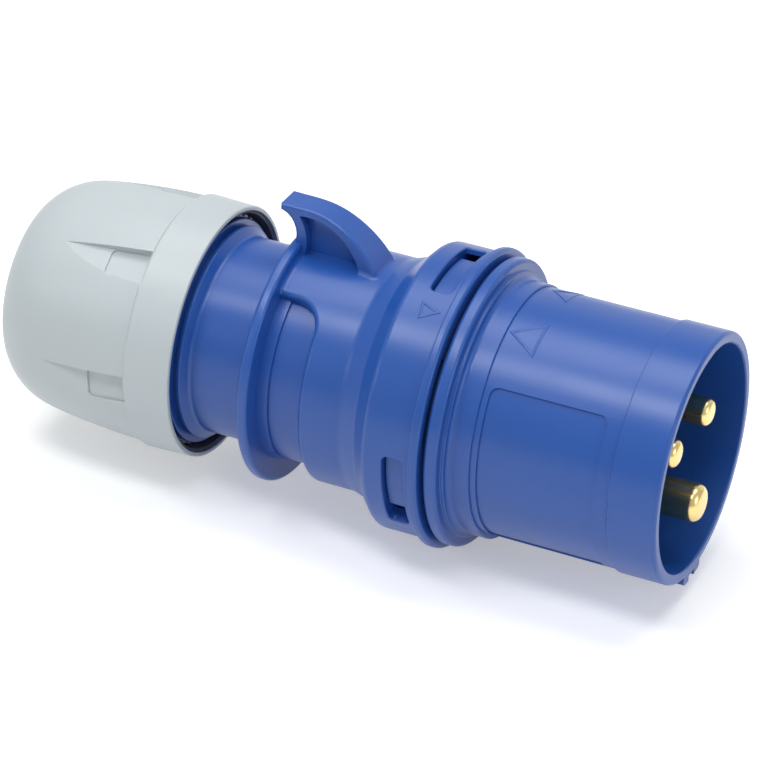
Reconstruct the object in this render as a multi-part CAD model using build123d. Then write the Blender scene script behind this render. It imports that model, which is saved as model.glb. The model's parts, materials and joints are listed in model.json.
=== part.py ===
from build123d import *
from math import cos, radians, sin
import os

# Industrial pin and sleeve plug, 16 A size with three poles, in millimetres.
# The plug's axis is X and +X points out of the mouth. The origin is the centre
# of the mouth. +Z is the side of the thumb hook. Angles run round X from +Y
# towards +Z, so the hook is at 90 degrees and the keyway ridge at 270.

# Roundings of edges, and how far a joined or cutting form runs past a face
fine_edge = 0.2
crisp_edge = 0.3
soft_edge = 0.7
inner_corner = 1.0
long_round = 3.0
overlap = 1.0

# Sleeve round the pins
mouth_bore_r = 20.0
mouth_wall = 2.0
lip_length = 8.7
sleeve_step = 0.4
sleeve_length = 24.6
base_length = 4.0
base_rise = 0.4
boss_length = 0.6
boss_rise = 1.8
boss_cove = 1.05
flange_length = 2.4
flange_set_in = 0.05
floor_set_back = 0.7
floor_thickness = 3.2
key_rise = 2.1
key_set_back = 0.3
key_sweep = 19.0
key_angle = 270
key_round = 0.9
key_notch_width = 2.4
key_notch_depth = 1.1
key_notch_length = 2.2
stop_rise = 1.1
stop_offset = 3.3
stop_length = 3.0
panel_depth = 0.35
panel_front = 11.3
panel_length = 20.9
panel_angle = 189.0
panel_sweep = 97.0
panel_round = 1.6

# Bayonet joint between sleeve and handle
bayonet_gap = 0.3
spigot_wall = 2.0
spigot_length = 11.4
joint_gap = 0.7
lug_rise = 1.5
lug_length = 3.2
lug_sweep = 34.0
lug_set_back = 3.9
lug_clearance = 0.3
window_angles = (91.5, 197.5, 317.5)
lug_angles = (97.0, 190.0, 312.0)
window_sweep = 36.3
window_round = 1.0
opening_travel = 36.0
closing_travel = 6.0
track_margin = 1.2

# Contacts
pin_circle_r = 8.8
pin_r = 2.5
pin_recess = 1.7
earth_pin_r = 3.4
earth_pin_recess = -0.7
pin_nose_share = 0.5
pin_collar_rise = 1.2
pin_collar_length = 2.0
pin_seat_rise = 0.4
pin_fit = 0.05
shank_r = 2.4
tongue_width = 3.8
tongue_thickness = 1.5
tongue_length = 7.0
pole_angles = {"line": 30, "neutral": 150, "earth": 270}

# Frame terminals behind the contacts, measured along and across each pole
frame_set_back = 2.4
frame_length = 6.0
frame_width = 8.4
frame_side_wall = 1.0
frame_floor_wall = 1.1
frame_head_wall = 1.8
wire_room = 4.9
screw_r = 2.0
screw_head_r = 2.8
screw_head_length = 2.2
screw_lift = 0.6
screw_slot_width = 0.8
screw_slot_depth = 1.1
terminal_room = 1.15
leaf_thickness = 0.6
leaf_margin = 0.4

# Insulating carrier and its cover
carrier_fit = 0.15
carrier_flange_length = 8.8
carrier_room = 0.95
carrier_body_length = 10.0
pocket_fit = 0.25
cover_thickness = 2.0
cover_peg_r = 1.4
cover_peg_length = 4.0
wire_hole_r = 2.9
carrier_screw_angles = (90, 210, 330)
carrier_screw_set_in = 2.2
carrier_screw_r = 1.6
carrier_screw_head_r = 2.9
carrier_screw_head_length = 2.0
carrier_screw_length = 10.0
carrier_boss_r = 3.3
carrier_boss_length = 5.0
seal_rise = 1.0
seal_gap = 0.1

# Handle
ring_wall = 1.05
rim_rise = 1.05
rim_length = 1.6
ring_length = 8.6
ring_round = 1.2
ramp_length = 3.2
ramp_foot_rise = 1.1
waist_length = 3.4
barrel_length = 7.8
barrel_wall = 2.2
groove_depth = 2.3
groove_ledge = 2.0
groove_ledge_rise = 0.5
groove_lip_round = 0.9
groove_length = 8.4
groove_bridge = 66.0
groove_end_round = 5.5
disc_rise = 2.3
disc_length = 2.0
neck_r = 17.5
neck_length = 11.5
neck_wall = 2.3
neck_rim_rise = 1.5
neck_rim_length = 0.6
neck_rim_gap = 0.7
neck_gap_rise = 0.6
collar_rise = 2.7
collar_length = 2.6
collar_step = 1.2
thread_rise = 1.1
thread_length = 14.2
bore_taper = 3.8
bore_taper_set_back = 1.8
spigot_room = 0.8
spigot_taper = 3.2
bore_step = 1.95

# Thumb hook
hook_tip_width = 5.8
hook_root_width = 8.4
hook_swell = 0.2
hook_web = 1.6
hook_rise = 8.65
hook_overhang = 2.2
hook_reach = 6.3
hook_sink = 0.5
hook_heel_drop = 0.7
hook_heel_lift = 1.2
hook_strip_lean = 0.8
hook_edge = 0.45
hook_foot_length = 3.5
hook_foot_round = 0.8
hook_shoulder_round = 3.0

# Cable gland
thread_gap = 0.3
cap_mouth_gap = 1.6
cap_mouth_room = 1.6
cap_mouth_wall = 1.0
cap_mouth_depth = 8.0
cap_band_length = 8.2
cap_band_taper = 0.25
cap_band_step = 0.6
dome_drop = 9.0
cone_set_back = 6.5
cone_length = 10.0
cone_end_r = 12.5
cap_end_wall = 3.5
cable_hole_r = 9.0
grip_count = 6
grip_angle = 121.0
grip_sweep = 16.0
grip_depth = 1.3
grip_length = 15.5
grip_width = 9.0
grip_tip_angle = 4.0
grip_tip_depth = 1.2
grip_pocket_length = 7.6
grip_pocket_width = 5.4
grip_pocket_depth = 0.4
cage_length = 9.2
cage_base_length = 1.8
cage_wall = 1.9
cage_base_wall = 2.3
cage_room = 0.6
cage_tip_r = 12.6
cage_fingers = 8
cage_slot = 2.0
cable_seal_r = 7.2
seal_seat_depth = 8.6
seal_shoulder = 2.6
seal_shoulder_length = 2.0
seal_taper_start = 0.8
seal_nose_length = 7.6
seal_nose_r = 11.4
slip_gap = 0.25
slip_back_gap = 0.1
slip_ring_length = 4.4
slip_ring_wall = 1.8
slip_ring_rise = 1.0
slip_ring_land = 2.2
liner_set_back = 0.5
liner_thickness = 0.6
liner_length = 5.0
ratchet_length = 2.7
ratchet_rise = 1.7
ratchet_teeth = 48
ratchet_tooth_depth = 0.35

# Stations along the axis, from the mouth backwards
lip_back = -lip_length
sleeve_back = lip_back - sleeve_length
base_back = sleeve_back - base_length
boss_back = base_back - boss_length
flange_back = boss_back - flange_length
floor_front = base_back - floor_set_back
floor_back = floor_front - floor_thickness
spigot_back = flange_back - spigot_length
handle_front = flange_back - joint_gap
rim_back = handle_front - rim_length
ring_back = rim_back - ring_length
ramp_back = ring_back - ramp_length
waist_back = ramp_back - waist_length
lip_x = waist_back - barrel_length
groove_back = lip_x - groove_length
disc_back = groove_back - disc_length
neck_back = disc_back - neck_length
collar_front = neck_back - collar_step
neck_rim_back = collar_front - neck_rim_length
collar_back = collar_front - collar_length
tail_back = collar_back - thread_length
seal_seat = tail_back + seal_seat_depth
lug_front = flange_back - lug_set_back
lug_back = lug_front - lug_length
window_front = lug_front + lug_clearance
window_back = lug_back - lug_clearance
carrier_step = floor_back - carrier_flange_length
carrier_back = carrier_step - carrier_body_length
frame_front = carrier_step - frame_set_back
frame_back = frame_front - frame_length
cap_front = neck_back - cap_mouth_gap
band_back = cap_front - cap_band_length
dome_front = band_back - cap_band_step
cap_bore_front = cap_front - cap_mouth_depth
cone_front = tail_back - cone_set_back
cone_back = cone_front - cone_length
cap_back = cone_back - cap_end_wall
hook_tip_x = disc_back - hook_overhang
hook_front_x = lip_x + hook_reach
hook_length = hook_front_x - hook_tip_x
hook_under_x = hook_front_x - hook_foot_length

# Radii that follow from those above
lip_r = mouth_bore_r + mouth_wall
sleeve_r = lip_r - sleeve_step
base_r = sleeve_r + base_rise
boss_r = sleeve_r + boss_rise
tongue_floor = -shank_r
leaf_top = tongue_floor + tongue_thickness + wire_room / 2
frame_top = tongue_floor + tongue_thickness + wire_room + frame_head_wall
terminal_reach = pin_circle_r + frame_top + screw_lift + screw_head_length
barrel_bore_r = terminal_reach + terminal_room
barrel_r = barrel_bore_r + barrel_wall
spigot_bore_r = barrel_bore_r + bore_step
spigot_r = spigot_bore_r + spigot_wall
ring_bore_r = spigot_r + bayonet_gap
lug_r = spigot_r + lug_rise
channel_r = lug_r + bayonet_gap
ring_r = channel_r + ring_wall
rim_r = ring_r + rim_rise
flange_r = ring_r - flange_set_in
carrier_body_r = barrel_bore_r - carrier_room
carrier_screw_circle_r = carrier_body_r - carrier_screw_set_in
disc_r = barrel_r + disc_rise
hook_crown = barrel_r + hook_rise
neck_bore_r = neck_r - neck_wall
collar_r = neck_r + collar_rise
thread_r = neck_r + thread_rise
cap_bore_r = thread_r + thread_gap
cap_mouth_r = collar_r + cap_mouth_room
cap_band_r = cap_mouth_r + cap_mouth_wall
dome_r = cap_band_r - cap_band_step
stop_r = base_r + stop_rise - stop_offset


def turned(*corners):
    """Solid turned round X. A corner is (x, r), or (x, r, rounding)."""
    face = make_face(Polyline(*[corner[:2] for corner in corners], close=True)).face()
    for corner in corners:
        if len(corner) == 3:
            point = face.vertices().sort_by_distance((corner[0], corner[1], 0))[0]
            face = face.fillet_2d(corner[2], [point])
    return revolve(face, Axis.X)


def arc_block(front, back, inner_r, outer_r, angle, sweep):
    """Block between two radii, centred on an angle round X."""
    face = make_face(Polyline((back, inner_r), (front, inner_r), (front, outer_r),
                              (back, outer_r), close=True))
    return Rot(X=angle - sweep / 2) * revolve(face, Axis.X, sweep)


def radial_edges(form):
    """The straight edges of an arc block that point away from the axis."""
    return [edge for edge in form.edges()
            if edge.geom_type == GeomType.LINE and abs((edge @ 1 - edge @ 0).X) < 0.001]


def from_axis(point):
    return (point.Y ** 2 + point.Z ** 2) ** 0.5


def outer_edges(form):
    """The lengthwise edges of an arc block that lie furthest from the axis."""
    return form.edges().filter_by(Axis.X).group_by(lambda edge: from_axis(edge @ 0))[-1]


def edges_at(form, radius, back, front):
    """The edges whose middle lies at a radius, between two stations."""
    middles = [(edge, edge @ 0.5) for edge in form.edges()]
    return [edge for edge, middle in middles
            if back < middle.X < front and abs(from_axis(middle) - radius) < fine_edge]


def ring(front, back, inner_r, outer_r):
    return turned((front, inner_r), (front, outer_r), (back, outer_r), (back, inner_r))


def rod(front, back, radius):
    return turned((front, 0), (front, radius), (back, radius), (back, 0))


def at_circle(angle, radius, piece):
    """Place a piece made on the X axis on a circle. Its +Y then points outwards."""
    return Rot(X=angle) * Pos(0, radius, 0) * piece


def at_pole(angle, piece):
    return at_circle(angle, pin_circle_r, piece)


def block(front, back, low, high, width):
    """Box from station to station, from low to high outwards, centred across."""
    return Pos((front + back) / 2, (low + high) / 2, 0) * Box(front - back, high - low, width)


def drill(low, high, radius, x):
    """Round hole or shank that points outwards at a station."""
    return Pos(x, (low + high) / 2, 0) * Rot(X=90) * Cylinder(radius, high - low)


def pole_size(pole):
    """Radius and recess of a pole's pin."""
    if pole == "earth":
        return earth_pin_r, earth_pin_recess
    return pin_r, pin_recess


def make_front_shroud():
    body = turned(
        (0, mouth_bore_r, crisp_edge),
        (0, lip_r, soft_edge),
        (lip_back, lip_r, fine_edge),
        (lip_back, sleeve_r),
        (sleeve_back, sleeve_r),
        (sleeve_back, base_r, fine_edge),
        (base_back, base_r, boss_cove),
        (base_back, boss_r, crisp_edge),
        (boss_back, boss_r, fine_edge),
        (boss_back, flange_r, soft_edge),
        (flange_back, flange_r, soft_edge),
        (flange_back, spigot_r),
        (spigot_back, spigot_r, crisp_edge),
        (spigot_back, spigot_bore_r),
        (floor_back, spigot_bore_r),
        (floor_back, 0),
        (floor_front, 0),
        (floor_front, mouth_bore_r, inner_corner),
    )
    key = arc_block(-key_set_back, sleeve_back, mouth_bore_r + overlap, sleeve_r + key_rise,
                    key_angle, key_sweep)
    key = fillet(outer_edges(key), key_round)
    notch = block(overlap, -key_set_back - key_notch_length, sleeve_r + key_rise - key_notch_depth,
                  lip_r + key_rise, key_notch_width)
    stop = Pos(0, 0, -stop_offset) * turned(
        (sleeve_back, 0),
        (sleeve_back, stop_r, crisp_edge),
        (sleeve_back - stop_length, stop_r, crisp_edge),
        (sleeve_back - stop_length, 0),
    )
    body += key - Rot(X=key_angle) * notch + (stop - rod(overlap, spigot_back, sleeve_r))
    panel = arc_block(-panel_front, -panel_front - panel_length, sleeve_r - panel_depth,
                      sleeve_r + overlap, panel_angle, panel_sweep)
    body -= fillet(radial_edges(panel), panel_round)
    for angle in lug_angles:
        body += arc_block(lug_front, lug_back, spigot_bore_r + overlap, lug_r, angle, lug_sweep)
    boss_end = floor_back - carrier_boss_length
    pilot_end = carrier_step + carrier_screw_length + carrier_fit
    for angle in carrier_screw_angles:
        body += at_circle(angle, carrier_screw_circle_r, rod(floor_back + overlap, boss_end, carrier_boss_r))
        body -= at_circle(angle, carrier_screw_circle_r,
                          rod(pilot_end, boss_end - overlap, carrier_screw_r))
    for pole, angle in pole_angles.items():
        hole_r = pole_size(pole)[0] + pin_seat_rise + pin_fit
        body -= at_pole(angle, rod(floor_front + overlap, floor_back - overlap, hole_r))
    return body


def make_pin(pole):
    radius, recess = pole_size(pole)
    collar_back = floor_back - pin_collar_length
    pin = turned(
        (-recess, 0),
        (-recess, radius, radius * pin_nose_share),
        (floor_front, radius),
        (floor_front, radius + pin_seat_rise),
        (floor_back, radius + pin_seat_rise),
        (floor_back, radius + pin_collar_rise, crisp_edge),
        (collar_back, radius + pin_collar_rise, crisp_edge),
        (collar_back, shank_r),
        (frame_front, shank_r),
        (frame_front, 0),
    )
    tongue = block(frame_front, frame_front - tongue_length, tongue_floor,
                   tongue_floor + tongue_thickness, tongue_width)
    return at_pole(pole_angles[pole], pin + tongue)


def make_terminal_frame(pole):
    frame = block(frame_front, frame_back, tongue_floor - frame_floor_wall, frame_top, frame_width)
    frame = fillet(frame.edges().filter_by(Axis.X), soft_edge)
    frame -= block(frame_front + overlap, frame_back - overlap, tongue_floor,
                   frame_top - frame_head_wall, frame_width - 2 * frame_side_wall)
    frame -= drill(frame_top - frame_head_wall - overlap, frame_top + overlap, screw_r + pin_fit,
                   (frame_front + frame_back) / 2)
    return at_pole(pole_angles[pole], frame)


def make_clamp_leaf(pole):
    leaf = block(frame_front - leaf_margin, frame_back + leaf_margin, leaf_top - leaf_thickness,
                 leaf_top, frame_width - 2 * frame_side_wall - 2 * leaf_margin)
    return at_pole(pole_angles[pole], leaf)


def make_terminal_screw(pole):
    x = (frame_front + frame_back) / 2
    head_low = frame_top + screw_lift
    head_high = head_low + screw_head_length
    screw = drill(leaf_top, head_low, screw_r, x)
    head = fillet(drill(head_low, head_high, screw_head_r, x).edges(), crisp_edge)
    slot = block(x + screw_slot_width / 2, x - screw_slot_width / 2, head_high - screw_slot_depth,
                 head_high + overlap, 2 * screw_head_r + overlap)
    return at_pole(pole_angles[pole], screw + head - slot)


def make_contact_carrier():
    carrier = turned(
        (floor_back, 0),
        (floor_back, spigot_bore_r - carrier_fit, crisp_edge),
        (carrier_step, spigot_bore_r - carrier_fit, soft_edge),
        (carrier_step, carrier_body_r),
        (carrier_back, carrier_body_r, crisp_edge),
        (carrier_back, 0),
    )
    for pole, angle in pole_angles.items():
        collar_r_fit = pole_size(pole)[0] + pin_collar_rise + pin_fit
        carrier -= at_pole(angle, rod(floor_back + overlap, floor_back - pin_collar_length, collar_r_fit))
        carrier -= at_pole(angle, rod(floor_back, frame_front - overlap, shank_r + pin_fit))
        carrier -= at_pole(angle, block(frame_front, carrier_back - overlap,
                                        tongue_floor - frame_floor_wall - pocket_fit, carrier_body_r,
                                        frame_width + 2 * pocket_fit))
    for angle in carrier_screw_angles:
        boss = rod(floor_back + overlap, floor_back - carrier_boss_length - pocket_fit,
                   carrier_boss_r + carrier_fit)
        shank = rod(floor_back, carrier_step - overlap, carrier_screw_r + carrier_fit)
        channel = rod(carrier_step, carrier_back - overlap, carrier_screw_head_r + pocket_fit)
        for cut in (boss, shank, channel):
            carrier -= at_circle(angle, carrier_screw_circle_r, cut)
    return carrier - rod(carrier_back + cover_peg_length + carrier_fit, carrier_back - overlap,
                         cover_peg_r + pin_fit)


def make_carrier_screw(angle):
    head_back = carrier_step - carrier_screw_head_length
    tip = carrier_step + carrier_screw_length
    screw = turned(
        (tip, 0),
        (tip - carrier_screw_r, carrier_screw_r - pin_fit),
        (carrier_step, carrier_screw_r - pin_fit),
        (carrier_step, carrier_screw_head_r, fine_edge),
        (head_back, carrier_screw_head_r, soft_edge),
        (head_back, 0),
    )
    cross = block(head_back + screw_slot_depth, head_back - overlap, -carrier_screw_r, carrier_screw_r,
                  screw_slot_width)
    return at_circle(angle, carrier_screw_circle_r, screw - cross - Rot(X=90) * cross)


def make_carrier_cover():
    cover_back = carrier_back - cover_thickness
    cover = turned(
        (carrier_back, 0),
        (carrier_back, carrier_body_r),
        (cover_back, carrier_body_r, soft_edge),
        (cover_back, 0),
    )
    cover += rod(carrier_back + cover_peg_length, carrier_back - overlap, cover_peg_r)
    wire_circle_r = pin_circle_r + tongue_floor + tongue_thickness + wire_hole_r
    for angle in pole_angles.values():
        cover -= at_circle(angle, wire_circle_r, rod(carrier_back + overlap, cover_back - overlap, wire_hole_r))
    for angle in carrier_screw_angles:
        cover -= at_circle(angle, carrier_screw_circle_r,
                           rod(carrier_back + overlap, cover_back - overlap,
                               carrier_screw_head_r + pocket_fit))
    return cover


def make_housing_seal():
    return ring(flange_back, handle_front + seal_gap, spigot_r + pin_fit, spigot_r + seal_rise)


def hook_point(along, down):
    """Point on the hook, by its share of the length from the tip and of the rise from the crown."""
    return hook_tip_x + along * hook_length, hook_crown - down * hook_rise


def make_hook():
    """Curved thumb hook with a wide outer strap, a thin web and a rear strip that runs into the disc."""
    root = barrel_r - hook_sink
    inner = barrel_bore_r + hook_sink
    foot = (hook_front_x, root)
    heel = (disc_back + hook_sink, disc_r - hook_heel_drop)
    shin = (disc_back + hook_strip_lean, disc_r + hook_heel_lift)
    strap = Spline(hook_point(0, 0), hook_point(0.2, 0), hook_point(0.41, 0.045),
                   hook_point(0.78, 0.47), foot)
    base = Polyline(foot, (hook_front_x, inner), (disc_back + hook_sink, inner), heel)
    rear = Spline(heel, shin, hook_point(0.106, 0.277), hook_point(0, 0.127))
    tip = Line(hook_point(0, 0.127), hook_point(0, 0))
    side = make_face([strap, base, rear, tip])
    half_tip = hook_tip_width / 2
    bend = (hook_point(0.63, 0)[0], half_tip + hook_swell)
    near = Spline((hook_tip_x - overlap, half_tip), bend, (hook_front_x + overlap, hook_root_width / 2))
    far = mirror(near, Plane.XZ)
    plan = make_face([near, far, Line(near @ 0, far @ 0), Line(near @ 1, far @ 1)])
    fin = extrude(Plane.XZ * side, hook_root_width, both=True) & extrude(plan, hook_crown + overlap)
    rims = [edge for edge in fin.edges()
            if edge.geom_type != GeomType.LINE and (edge @ 0.5).Z > disc_r + hook_sink]
    fin = fillet(rims, hook_edge) + make_hook_shoulders(side)
    under = Spline(hook_point(0.19, 0.173), hook_point(0.4, 0.185), hook_point(0.63, 0.44),
                   (hook_under_x, root))
    inside = Spline((groove_back + hook_sink, root), (groove_back + hook_strip_lean, shin[1]),
                    hook_point(0.19, 0.173))
    pocket = make_face([under, Line(under @ 1, inside @ 0), inside])
    pocket = extrude(Plane.XZ * pocket, hook_root_width, both=True)
    web = extrude(Plane.XZ * side, hook_web / 2, both=True)
    return fin - (pocket - web)


def make_hook_shoulders(side):
    """Rounded shoulders where the hook's rear strip rises from the disc."""
    inner_r = disc_r - hook_sink
    strip = Pos(0, hook_crown / 2) * Rectangle(hook_tip_width, hook_crown)
    face = (Pos(disc_back, 0, 0) * Plane.YZ * (Circle(inner_r) + strip)).face()
    corners = [point for point in face.vertices()
               if abs(from_axis(point) - inner_r) < fine_edge and point.Z > hook_tip_width]
    plate = extrude(face.fillet_2d(hook_shoulder_round, corners), disc_length, dir=(1, 0, 0))
    return plate & extrude(Plane.XZ * side, hook_root_width, both=True)


def make_window(angle):
    """Window of the bayonet ring, through which a lug shows."""
    slot = arc_block(window_front, window_back, ring_bore_r - overlap, ring_r + overlap, angle,
                     window_sweep)
    return fillet(radial_edges(slot), window_round)


def make_lug_track(angle):
    """Room for one lug from closed to open, and its way in from the front."""
    travel = opening_travel + closing_travel
    track = arc_block(window_front, window_back, ring_bore_r - overlap, channel_r,
                      angle + (closing_travel - opening_travel) / 2, lug_sweep + travel + 2 * track_margin)
    entry = arc_block(handle_front + overlap, window_back, ring_bore_r - overlap, channel_r,
                      angle - opening_travel, lug_sweep + 2 * track_margin)
    return track + entry


def make_groove():
    """Finger groove round the barrel, bridged below the hook, with a low ledge along the disc."""
    floor_r = barrel_r - groove_depth
    sweep = 360 - groove_bridge
    deep = arc_block(lip_x, groove_back, floor_r, disc_r + overlap, key_angle, sweep)
    front_ends = [edge for edge in radial_edges(deep) if (edge @ 0).X > groove_back + overlap]
    ledge = arc_block(groove_back + groove_ledge, groove_back, floor_r - overlap,
                      floor_r + groove_ledge_rise, key_angle, sweep)
    return fillet(front_ends, groove_end_round) - ledge


def make_rear_handle():
    taper_back = lip_x - bore_taper_set_back
    room_back = spigot_back - spigot_room
    body = turned(
        (handle_front, ring_bore_r),
        (handle_front, rim_r, soft_edge),
        (rim_back, rim_r, crisp_edge),
        (rim_back, ring_r, crisp_edge),
        (ring_back, ring_r, ring_round),
        (ramp_back, barrel_r + ramp_foot_rise, ring_round),
        (waist_back, barrel_r, long_round),
        (groove_back, barrel_r),
        (groove_back, disc_r, soft_edge),
        (disc_back, disc_r, soft_edge),
        (disc_back, neck_r, soft_edge),
        (neck_back, neck_r, soft_edge),
        (collar_front, neck_r + neck_rim_rise, fine_edge),
        (neck_rim_back, neck_r + neck_rim_rise, fine_edge),
        (neck_rim_back, neck_r + neck_gap_rise),
        (neck_rim_back - neck_rim_gap, neck_r + neck_gap_rise),
        (neck_rim_back - neck_rim_gap, collar_r, crisp_edge),
        (collar_back, collar_r, fine_edge),
        (collar_back, thread_r),
        (tail_back, thread_r, crisp_edge),
        (tail_back, neck_bore_r),
        (seal_seat, neck_bore_r),
        (seal_seat, neck_bore_r - seal_shoulder),
        (seal_seat + seal_shoulder_length, neck_bore_r - seal_shoulder),
        (seal_seat + seal_shoulder_length, neck_bore_r),
        (taper_back, neck_bore_r, inner_corner),
        (taper_back + bore_taper, barrel_bore_r, inner_corner),
        (room_back - spigot_taper, barrel_bore_r, inner_corner),
        (room_back, ring_bore_r, crisp_edge),
    )
    body -= make_groove()
    body = fillet(edges_at(body, barrel_r, groove_back, lip_x + fine_edge), groove_lip_round)
    body += make_hook()
    foot = [edge for edge in edges_at(body, barrel_r, hook_under_x, hook_front_x + fine_edge)
            if edge.geom_type != GeomType.LINE]
    body = fillet(foot, hook_foot_round)
    for angle in window_angles:
        body -= make_window(angle)
    body = fillet(edges_at(body, ring_r, window_back - fine_edge, window_front + fine_edge), crisp_edge)
    for angle in lug_angles:
        body -= make_lug_track(angle)
    return body


def dome_point(along, down):
    """Point on the cap's dome, by its share of the dome's length and drop."""
    return dome_front + along * (cap_back - dome_front), dome_r - down * dome_drop


def make_gland_nut():
    crown = [dome_point(0, 0), dome_point(0.29, 0.033), dome_point(0.6, 0.133), dome_point(0.82, 0.3),
             dome_point(0.95, 0.6), dome_point(1, 1)]
    dome = Spline(*crown, tangents=((-1, -0.01), (0, -1)))
    mouth_edge = (cap_front, cap_band_r - cap_band_taper)
    inside = Polyline(
        crown[-1],
        (cap_back, cable_hole_r),
        (cone_back, cable_hole_r),
        (cone_back, cone_end_r),
        (cone_front, cap_bore_r),
        (cap_bore_front, cap_bore_r),
        (cap_bore_front, cap_mouth_r),
        (cap_front, cap_mouth_r),
        mouth_edge,
        (band_back, cap_band_r),
        crown[0],
    )
    face = make_face([dome, inside]).face()
    for corner in (mouth_edge, (band_back, cap_band_r), (cap_back, cable_hole_r)):
        point = face.vertices().sort_by_distance((*corner, 0))[0]
        face = face.fillet_2d(crisp_edge, [point])
    nut = revolve(face, Axis.X)
    for index in range(grip_count):
        nut -= Rot(X=index * 360 / grip_count) * make_grip_cut()
    return nut


def on_cap(x, angle, radius):
    return Vector(x, radius * cos(radians(angle)), radius * sin(radians(angle)))


def make_grip_cut():
    """Wedge with a flat pocket, for a grip hollow with one sharp ledge and a point to the rear."""
    deep = on_cap(dome_front, grip_angle, dome_r - grip_depth)
    shallow = on_cap(dome_front, grip_angle + grip_sweep, dome_r)
    tip_x = dome_front - grip_length
    point = on_cap(tip_x, grip_angle + grip_tip_angle, dome_r - grip_tip_depth)
    along = (point - deep).normalized()
    outward = along.cross(shallow - deep).normalized()
    if outward.dot(on_cap(0, grip_angle, 1)) < 0:
        outward = outward * -1
    plane = Plane(origin=deep, x_dir=along, z_dir=outward)
    side = -1 if plane.y_dir.dot(shallow - deep) < 0 else 1
    corner = (Align.MIN, Align.CENTER, Align.MIN)
    wedge = Pos(0, side * grip_width / 2, 0) * Box(grip_length * 1.5, grip_width, grip_width, align=corner)
    pocket = Box(grip_pocket_length, grip_pocket_width, grip_width, align=corner)
    pocket = fillet(pocket.edges().filter_by(Axis.Z).group_by(Axis.X)[-1], inner_corner)
    return plane * (wedge + Pos(0, side * grip_pocket_width / 2, -grip_pocket_depth) * pocket)


def make_clamp_cage():
    base_end = tail_back - cage_base_length
    cage_back = tail_back - cage_length
    outer = cap_bore_r - cage_room
    cage = turned(
        (tail_back, neck_bore_r + thread_gap),
        (tail_back, outer, crisp_edge),
        (base_end, outer),
        (cage_back, cage_tip_r),
        (cage_back, cage_tip_r - cage_wall),
        (base_end, outer - cage_base_wall),
    )
    for index in range(cage_fingers // 2):
        slot = Box(cage_length, 4 * outer, cage_slot)
        cage -= Rot(X=index * 360 / cage_fingers) * Pos(base_end - cage_length / 2, 0, 0) * slot
    return cage


def make_gland_seal():
    nose = tail_back - seal_nose_length
    return turned(
        (seal_seat, cable_seal_r),
        (seal_seat, neck_bore_r - pin_fit),
        (tail_back - seal_taper_start, neck_bore_r - pin_fit),
        (nose, seal_nose_r, crisp_edge),
        (nose, cable_seal_r),
    )


def make_slip_ring():
    """Cone washer that lies on the cap's inner cone."""
    slope = (cap_bore_r - cone_end_r) / cone_length
    back = cone_back + slip_back_gap
    front = back + slip_ring_length
    outer_back = cone_end_r - slip_gap
    outer_front = outer_back + slope * slip_ring_length
    hole_r = cable_hole_r + slip_ring_rise
    return turned(
        (front, outer_front - slip_ring_wall),
        (front, outer_front),
        (back, outer_back),
        (back, hole_r),
        (back + slip_ring_land, hole_r),
    )


def make_neck_seal():
    front = cap_front - liner_set_back
    return ring(front, front - liner_length, cap_mouth_r - liner_thickness, cap_mouth_r)


def make_ratchet_ring():
    root_r = thread_r + ratchet_rise
    ratchet = ring(collar_back, collar_back - ratchet_length, thread_r, root_r + ratchet_tooth_depth)
    notch = arc_block(collar_back + overlap, collar_back - ratchet_length - overlap, root_r,
                      root_r + overlap, 0, 180 / ratchet_teeth)
    notches = [Rot(X=index * 360 / ratchet_teeth) * notch for index in range(ratchet_teeth)]
    return ratchet - notches


def save(name, shape):
    export_step(shape, "parts/" + name + ".step")


os.makedirs("parts", exist_ok=True)
save("front_shroud", make_front_shroud())
save("contact_carrier", make_contact_carrier())
save("carrier_screws", Compound(children=[make_carrier_screw(angle) for angle in carrier_screw_angles]))
save("carrier_cover", make_carrier_cover())
save("housing_seal", make_housing_seal())
for pole in pole_angles:
    save("pin_" + pole, make_pin(pole))
    save("terminal_frame_" + pole, make_terminal_frame(pole))
    save("clamp_leaf_" + pole, make_clamp_leaf(pole))
save("terminal_screws", Compound(children=[make_terminal_screw(pole) for pole in pole_angles]))
save("rear_handle", make_rear_handle())
save("gland_nut", make_gland_nut())
save("neck_seal", make_neck_seal())
save("clamp_cage", make_clamp_cage())
save("gland_seal", make_gland_seal())
save("slip_ring", make_slip_ring())
save("ratchet_ring", make_ratchet_ring())
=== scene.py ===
import bmesh
import bpy
import json
from math import cos, degrees, pi, radians, sin
from mathutils import Matrix, Vector


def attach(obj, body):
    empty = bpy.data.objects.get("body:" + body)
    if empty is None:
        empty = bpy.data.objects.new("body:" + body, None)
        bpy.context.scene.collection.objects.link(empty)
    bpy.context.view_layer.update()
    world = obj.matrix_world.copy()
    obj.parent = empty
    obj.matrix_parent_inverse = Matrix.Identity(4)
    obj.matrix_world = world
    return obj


# Industrial pin and sleeve plug. Metres, in the part's own frame: the plug's axis
# is X, +X points out of the mouth and +Z is the side of the thumb hook. Angles run
# round X from +Y towards +Z, in degrees.

MM = 0.001

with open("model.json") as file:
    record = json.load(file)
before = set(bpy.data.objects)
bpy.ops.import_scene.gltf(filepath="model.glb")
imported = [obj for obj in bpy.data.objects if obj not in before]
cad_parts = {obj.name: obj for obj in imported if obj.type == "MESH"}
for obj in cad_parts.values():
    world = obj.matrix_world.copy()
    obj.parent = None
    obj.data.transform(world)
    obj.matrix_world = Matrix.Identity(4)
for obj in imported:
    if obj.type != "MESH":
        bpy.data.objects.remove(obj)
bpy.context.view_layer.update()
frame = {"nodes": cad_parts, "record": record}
record = frame["record"]
nodes = frame["nodes"]

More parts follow.
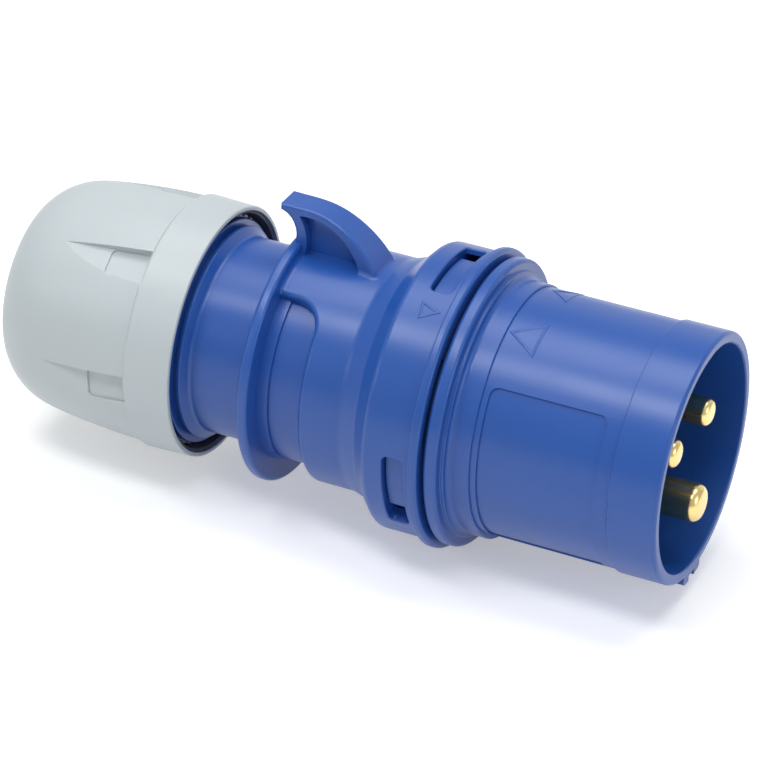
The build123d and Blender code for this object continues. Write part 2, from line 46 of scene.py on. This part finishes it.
# Camera, as fitted to the photograph, with a slightly wider lens that keeps the cap
# inside the picture. Angles in degrees, distances in metres, sensor in millimetres.
CAMERA_AZIMUTH = 23.247
CAMERA_ELEVATION = 30.364
CAMERA_ROLL = 2.754
CAMERA_DISTANCE = 0.71270
CAMERA_TARGET = Vector((-0.0587335, 0, -0.0019905))
CAMERA_NEAR = 0.01
CAMERA_FAR = 20
FOCAL_PIXELS = 4140.0
FRAME_PIXELS = 768
SENSOR = 36.0

# Raised alignment triangles: their line's width and height, how far it goes into
# the plastic, and the points along each side and across the line's rounded back
MARK_WIDTH = 0.5 * MM
MARK_RISE = 0.13 * MM
MARK_SINK = 0.1 * MM
MARK_STEPS = 14
MARK_LEVELS = 6

# A sharp corner of a line moves inwards by at most the line's width divided by this
LEAST_INWARD = 0.2

# Round surfaces that carry the triangles, and the triangles' corners as (x, angle)
SLEEVE_R = 21.6 * MM
RING_R = 25.35 * MM
SLEEVE_MARK_NEAR = [(-27.1 * MM, 104.0), (-27.2 * MM, 123.5), (-32.9 * MM, 113.4)]
SLEEVE_MARK_FAR = [(-27.3 * MM, 60.0), (-27.3 * MM, 84.2), (-31.6 * MM, 72.0)]
RING_MARK = [(-47.85 * MM, 115.3), (-47.2 * MM, 123.7), (-43.8 * MM, 119.0)]

# Floor: height, half its side, the strength of its own light, and the scale of its
# faint unevenness
FLOOR_Z = -26.45 * MM
FLOOR_REACH = 6.0
FLOOR_GLOW = 0.38
FLOOR_CLOUD = 60.0

# World's strength as light on the part, in reflections and glass, and to the camera
WORLD_LIGHT = 0.30
WORLD_SEEN = 0.6
WORLD_WHITE = 1.0

# Softboxes that face the plug: place, width and height, and power in watts
SOFTBOXES = {
    "overhead": {"place": (-0.06, 0.10, 0.60), "size": (0.60, 0.30), "power": 1.9},
    "overhead_front": {"place": (-0.12, -0.26, 0.56), "size": (0.50, 0.14), "power": 1.6},
    "behind": {"place": (-0.06, 0.75, 0.28), "size": (1.20, 0.45), "power": 0.45},
    "left_front": {"place": (-0.50, -0.50, 0.30), "size": (0.20, 0.20), "power": 0.3},
    "mouth_side": {"place": (0.58, -0.12, 0.22), "size": (0.30, 0.30), "power": 0.6},
}

# Colours, the moulded plastics' apart
RUBBER = (0.013, 0.019, 0.050)
BRASS_DARK = (0.84, 0.62, 0.24, 1)
BRASS_LIGHT = (0.95, 0.79, 0.38, 1)
STEEL_DARK = (0.56, 0.57, 0.59, 1)
STEEL_LIGHT = (0.70, 0.71, 0.72, 1)
FLOOR_DARK = (0.88, 0.88, 0.89, 1)
FLOOR_LIGHT = (0.90, 0.90, 0.91, 1)
WORLD_COLOR = (0.96, 0.98, 1.0, 1)
WHITE = (1, 1, 1, 1)

# Moulded plastics: colour, least roughness and how far it goes up, specular level,
# and the scale and depth of the mould's grain
PLASTICS = {
    "blue_plastic": {"color": (0.016, 0.090, 0.39), "gloss": 0.27, "spread": 0.10,
                     "shine": 0.50, "grain": 1800.0, "grain_depth": 0.01 * MM},
    "grey_plastic": {"color": (0.52, 0.575, 0.595), "gloss": 0.34, "spread": 0.10,
                     "shine": 0.50, "grain": 2200.0, "grain_depth": 0.02 * MM},
    "insulator": {"color": (0.020, 0.021, 0.024), "gloss": 0.42, "spread": 0.14,
                  "shine": 0.50, "grain": 2600.0, "grain_depth": 0.03 * MM},
    "pale_plastic": {"color": (0.50, 0.58, 0.55), "gloss": 0.40, "spread": 0.14,
                     "shine": 0.50, "grain": 2400.0, "grain_depth": 0.02 * MM},
}
PLASTIC_IOR = 1.53

# Sockets of the Mix node when it mixes colours
MIX_FACTOR = 0
MIX_FIRST = 6
MIX_SECOND = 7
MIX_RESULT = 2


class Nodes:
    """Short way to write a material's node tree."""

    def __init__(self, name):
        self.material = bpy.data.materials.new(name)
        self.material.use_nodes = True
        self.tree = self.material.node_tree
        self.tree.nodes.clear()
        self.output = self.add("ShaderNodeOutputMaterial")

    def add(self, kind, inputs=None, **settings):
        """New node. Each input takes another node's socket or a plain value."""
        node = self.tree.nodes.new(kind)
        for key, value in settings.items():
            setattr(node, key, value)
        for key, value in (inputs or {}).items():
            if isinstance(value, bpy.types.NodeSocket):
                self.tree.links.new(value, node.inputs[key])
            else:
                node.inputs[key].default_value = value
        return node

    def place(self):
        """Coordinates in the part's own frame, in metres."""
        return self.add("ShaderNodeTexCoord").outputs["Object"]

    def scaled(self, place, scale):
        """Coordinates with a scale for each direction, so that noise is drawn out into lines."""
        return self.add("ShaderNodeMapping", {"Vector": place, "Scale": scale}).outputs["Vector"]

    def noise(self, place, scale, detail, rough=0.5):
        """Noise between 0 and 1, mostly near 0.5."""
        inputs = {"Vector": place, "Scale": scale, "Detail": detail, "Roughness": rough}
        return self.add("ShaderNodeTexNoise", inputs).outputs["Fac"]

    def remap(self, value, low, high, from_low=0.3, from_high=0.7):
        """The value, with its range moved to the one from low to high."""
        inputs = {"Value": value, "From Min": from_low, "From Max": from_high, "To Min": low, "To Max": high}
        return self.add("ShaderNodeMapRange", inputs).outputs["Result"]

    def blend(self, factor, first, second):
        """Colour that goes from the first to the second as the factor goes from 0 to 1."""
        mix = self.add("ShaderNodeMix", data_type="RGBA")
        self.tree.links.new(factor, mix.inputs[MIX_FACTOR])
        mix.inputs[MIX_FIRST].default_value = first
        mix.inputs[MIX_SECOND].default_value = second
        return mix.outputs[MIX_RESULT]

    def bump(self, height, depth, strength):
        """Normal of a surface that rises by the depth where the height is 1."""
        inputs = {"Height": height, "Distance": depth, "Strength": strength}
        return self.add("ShaderNodeBump", inputs).outputs["Normal"]

    def finish(self, shader):
        """The material, with this shader as its surface."""
        self.tree.links.new(shader.outputs[0], self.output.inputs["Surface"])
        return self.material


def shade(color, factor):
    """The colour made lighter or darker, with its alpha of 1."""
    return (*[min(1.0, channel * factor) for channel in color], 1.0)


def moulded_plastic(name, color, gloss, spread, shine, grain, grain_depth):
    """Moulded plastic: fine grain from the mould, faint flow in its colour and uneven gloss."""
    n = Nodes(name)
    place = n.place()
    flow = n.noise(place, scale=24.0, detail=1.0, rough=0.4)
    flow_share = n.remap(flow, 0.0, 1.0, from_low=0.15, from_high=0.85)
    cloud = n.noise(place, scale=70.0, detail=2.0)
    skin = n.noise(place, scale=grain, detail=2.0, rough=0.6)
    inputs = {"Base Color": n.blend(flow_share, shade(color, 0.95), shade(color, 1.05)),
              "Roughness": n.remap(cloud, gloss, gloss + spread, from_low=0.15, from_high=0.85),
              "IOR": PLASTIC_IOR, "Specular IOR Level": shine,
              "Normal": n.bump(skin, depth=grain_depth, strength=0.5)}
    return n.finish(n.add("ShaderNodeBsdfPrincipled", inputs))


def polished_brass(name):
    """Turned brass: bright, with faint turning lines round the contact and a little tarnish."""
    n = Nodes(name)
    place = n.place()
    lines = n.noise(n.scaled(place, (1.0, 0.02, 0.02)), scale=9000.0, detail=2.0)
    tarnish = n.noise(place, scale=110.0, detail=2.0)
    inputs = {"Base Color": n.blend(n.remap(tarnish, 0.0, 1.0), BRASS_DARK, BRASS_LIGHT),
              "Metallic": 1.0, "Roughness": n.remap(tarnish, 0.22, 0.27),
              "Normal": n.bump(lines, depth=0.002 * MM, strength=0.3)}
    return n.finish(n.add("ShaderNodeBsdfPrincipled", inputs))


def plated_steel(name):
    """Zinc plated steel with fine rolling lines along X."""
    n = Nodes(name)
    place = n.place()
    lines = n.noise(n.scaled(place, (0.05, 1.0, 1.0)), scale=5000.0, detail=3.0, rough=0.6)
    cloud = n.noise(place, scale=420.0, detail=4.0, rough=0.6)
    inputs = {"Base Color": n.blend(n.remap(cloud, 0.0, 1.0), STEEL_DARK, STEEL_LIGHT),
              "Metallic": 1.0, "Roughness": n.remap(cloud, 0.26, 0.42),
              "Normal": n.bump(lines, depth=0.006 * MM, strength=0.5)}
    return n.finish(n.add("ShaderNodeBsdfPrincipled", inputs))


def soft_rubber(name):
    """Dark rubber with a dusty bloom and a fine pebbled skin."""
    n = Nodes(name)
    place = n.place()
    pebble = n.noise(place, scale=2600.0, detail=2.0)
    bloom = n.noise(place, scale=120.0, detail=5.0, rough=0.6)
    inputs = {"Base Color": n.blend(n.remap(bloom, 0.0, 1.0), shade(RUBBER, 0.8), shade(RUBBER, 1.5)),
              "Roughness": n.remap(bloom, 0.55, 0.72), "Sheen Weight": 0.15,
              "Normal": n.bump(pebble, depth=0.04 * MM, strength=0.5)}
    return n.finish(n.add("ShaderNodeBsdfPrincipled", inputs))


materials = {slot: moulded_plastic(slot, **look) for slot, look in PLASTICS.items()}
materials["brass"] = polished_brass("brass")
materials["steel"] = plated_steel("steel")
materials["black_rubber"] = soft_rubber("black_rubber")


def dress_frame():
    """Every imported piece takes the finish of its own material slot."""
    for part in record["subparts"]:
        mesh = nodes[part["node"]].data
        mesh.materials.clear()
        mesh.materials.append(materials[part["material_slot"]])


def on_round(x, angle, radius):
    """Point at an angle on a round surface about the plug's axis."""
    return Vector((x, radius * cos(radians(angle)), radius * sin(radians(angle))))


def add_piece(name, mesh, slot, body):
    """Piece of the scene's own, with the slot's material, that moves with the body."""
    piece = bpy.data.objects.new(name, mesh)
    bpy.context.scene.collection.objects.link(piece)
    mesh.materials.append(materials[slot])
    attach(piece, body)
    return piece


def inset_corners(corners, width, radius):
    """Corners (x, angle) moved inwards, so that the band between has an even width."""
    flat = [Vector((x, radians(angle) * radius)) for x, angle in corners]
    turn = sum(a.x * b.y - a.y * b.x for a, b in zip(flat, flat[1:] + flat[:1]))
    side = 1 if turn > 0 else -1
    moved = []
    for index, corner in enumerate(flat):
        before = (corner - flat[index - 1]).normalized()
        after = (flat[(index + 1) % len(flat)] - corner).normalized()
        square_before = Vector((-before.y, before.x))
        square_after = Vector((-after.y, after.x))
        inward = (square_before + square_after).normalized() * side
        reach = width / max(LEAST_INWARD, inward.dot(square_after * side))
        point = corner + inward * reach
        moved.append((point.x, degrees(point.y / radius)))
    return moved


def closed_path(corners, radius):
    """Points along the sides of a closed outline on a round surface."""
    points = []
    for index, (x, angle) in enumerate(corners):
        next_x, next_angle = corners[(index + 1) % len(corners)]
        for step in range(MARK_STEPS):
            share = step / MARK_STEPS
            points.append(on_round(x + (next_x - x) * share, angle + (next_angle - angle) * share, radius))
    return points


def raised_outline(name, corners, radius, slot, body):
    """Raised closed line with a rounded back on a round surface, as a mould leaves it."""
    profile = [(0, -MARK_SINK)]
    for level in range(MARK_LEVELS + 1):
        turn = pi * level / MARK_LEVELS
        profile.append((MARK_WIDTH * (1 - cos(turn)) / 2, MARK_RISE * sin(turn)))
    profile.append((MARK_WIDTH, -MARK_SINK))
    rings = []
    for inset, height in profile:
        path = inset_corners(corners, inset, radius) if inset else corners
        rings.append(closed_path(path, radius + height))
    count = len(rings[0])
    faces = []
    for level in range(len(rings)):
        upper = (level + 1) % len(rings)
        for index in range(count):
            after = (index + 1) % count
            faces.append((level * count + index, level * count + after,
                          upper * count + after, upper * count + index))
    mesh = bpy.data.meshes.new(name)
    mesh.from_pydata([point for ring in rings for point in ring], [], faces)
    face_outwards(mesh)
    add_piece(name, mesh, slot, body)


def face_outwards(mesh):
    """Every face of a closed mesh turned to face outwards."""
    work = bmesh.new()
    work.from_mesh(mesh)
    bmesh.ops.recalc_face_normals(work, faces=work.faces)
    work.to_mesh(mesh)
    work.free()


def make_marks():
    """Alignment triangles on both sides of the bayonet joint."""
    raised_outline("alignment_mark_sleeve_near", SLEEVE_MARK_NEAR, SLEEVE_R, "blue_plastic", "front")
    raised_outline("alignment_mark_sleeve_far", SLEEVE_MARK_FAR, SLEEVE_R, "blue_plastic", "front")
    raised_outline("alignment_mark_handle", RING_MARK, RING_R, "blue_plastic", "handle")


def camera_axes():
    """The camera's own right, up and back directions."""
    azimuth = radians(CAMERA_AZIMUTH)
    elevation = radians(CAMERA_ELEVATION)
    roll = radians(CAMERA_ROLL)
    back = Vector((sin(azimuth) * cos(elevation), -cos(azimuth) * cos(elevation), sin(elevation)))
    level = (-back).cross(Vector((0, 0, 1))).normalized()
    upright = level.cross(-back)
    right = level * cos(roll) + upright * sin(roll)
    up = upright * cos(roll) - level * sin(roll)
    return right, up, back


def make_camera():
    """Camera at the photograph's angle."""
    right, up, back = camera_axes()
    data = bpy.data.cameras.new("camera")
    data.sensor_width = SENSOR
    data.lens = FOCAL_PIXELS / FRAME_PIXELS * SENSOR
    data.clip_start = CAMERA_NEAR
    data.clip_end = CAMERA_FAR
    camera = bpy.data.objects.new("camera", data)
    place = CAMERA_TARGET + back * CAMERA_DISTANCE
    columns = Matrix((right, up, back)).transposed().to_4x4()
    camera.matrix_world = Matrix.Translation(place) @ columns
    bpy.context.scene.collection.objects.link(camera)
    bpy.context.scene.camera = camera


def seen_share(n):
    """1 for the camera, reflections and glass, and 0 for light that falls on things."""
    path = n.add("ShaderNodeLightPath")
    share = path.outputs["Is Camera Ray"]
    for ray in ("Is Glossy Ray", "Is Transmission Ray"):
        share = n.add("ShaderNodeMath", {0: share, 1: path.outputs[ray]}, operation="MAXIMUM").outputs[0]
    return share


def make_floor():
    """Pale floor past the view. Its own light shows only to the camera and in reflections."""
    n = Nodes("pale_floor")
    cloud = n.noise(n.place(), scale=FLOOR_CLOUD, detail=3.0)
    tint = n.blend(n.remap(cloud, 0.0, 1.0), FLOOR_DARK, FLOOR_LIGHT)
    matt = n.add("ShaderNodeBsdfDiffuse", {"Color": tint})
    strength = n.add("ShaderNodeMath", {0: seen_share(n), 1: FLOOR_GLOW}, operation="MULTIPLY").outputs[0]
    glow = n.add("ShaderNodeEmission", {"Color": WHITE, "Strength": strength})
    both = n.add("ShaderNodeAddShader", {0: matt.outputs[0], 1: glow.outputs[0]})
    sides = ((-1, -1), (1, -1), (1, 1), (-1, 1))
    mesh = bpy.data.meshes.new("floor")
    mesh.from_pydata([(x * FLOOR_REACH, y * FLOOR_REACH, FLOOR_Z) for x, y in sides], [], [(0, 1, 2, 3)])
    mesh.materials.append(n.finish(both))
    floor = bpy.data.objects.new("floor", mesh)
    bpy.context.scene.collection.objects.link(floor)


def make_world():
    """Plain surroundings: white to the camera, pale in reflections and glass, and a low even light."""
    world = bpy.data.worlds.new("studio")
    bpy.context.scene.world = world
    world.use_nodes = True
    tree = world.node_tree
    path = tree.nodes.new("ShaderNodeLightPath")
    background = tree.nodes["Background"]
    background.inputs["Color"].default_value = WORLD_COLOR
    strengths = (("Is Transmission Ray", WORLD_SEEN), ("Is Glossy Ray", WORLD_SEEN),
                 ("Is Camera Ray", WORLD_WHITE))
    below = None
    for ray, seen in strengths:
        step = tree.nodes.new("ShaderNodeMath")
        step.operation = "MULTIPLY_ADD"
        step.inputs[1].default_value = seen - WORLD_LIGHT
        step.inputs[2].default_value = WORLD_LIGHT
        tree.links.new(path.outputs[ray], step.inputs[0])
        if below is not None:
            tree.links.new(below, step.inputs[2])
        below = step.outputs[0]
    tree.links.new(below, background.inputs["Strength"])


def softbox(name, place, size, power):
    """Rectangular soft light that faces the plug."""
    data = bpy.data.lights.new(name, "AREA")
    data.shape = "RECTANGLE"
    data.size, data.size_y = size
    data.energy = power
    light = bpy.data.objects.new(name, data)
    light.location = place
    light.rotation_mode = "QUATERNION"
    light.rotation_quaternion = (CAMERA_TARGET - Vector(place)).to_track_quat("-Z", "Y")
    bpy.context.scene.collection.objects.link(light)


dress_frame()
make_marks()
make_camera()
make_floor()
make_world()
for light_name, light_settings in SOFTBOXES.items():
    softbox(light_name, **light_settings)
bpy.context.scene.view_settings.view_transform = "Standard"
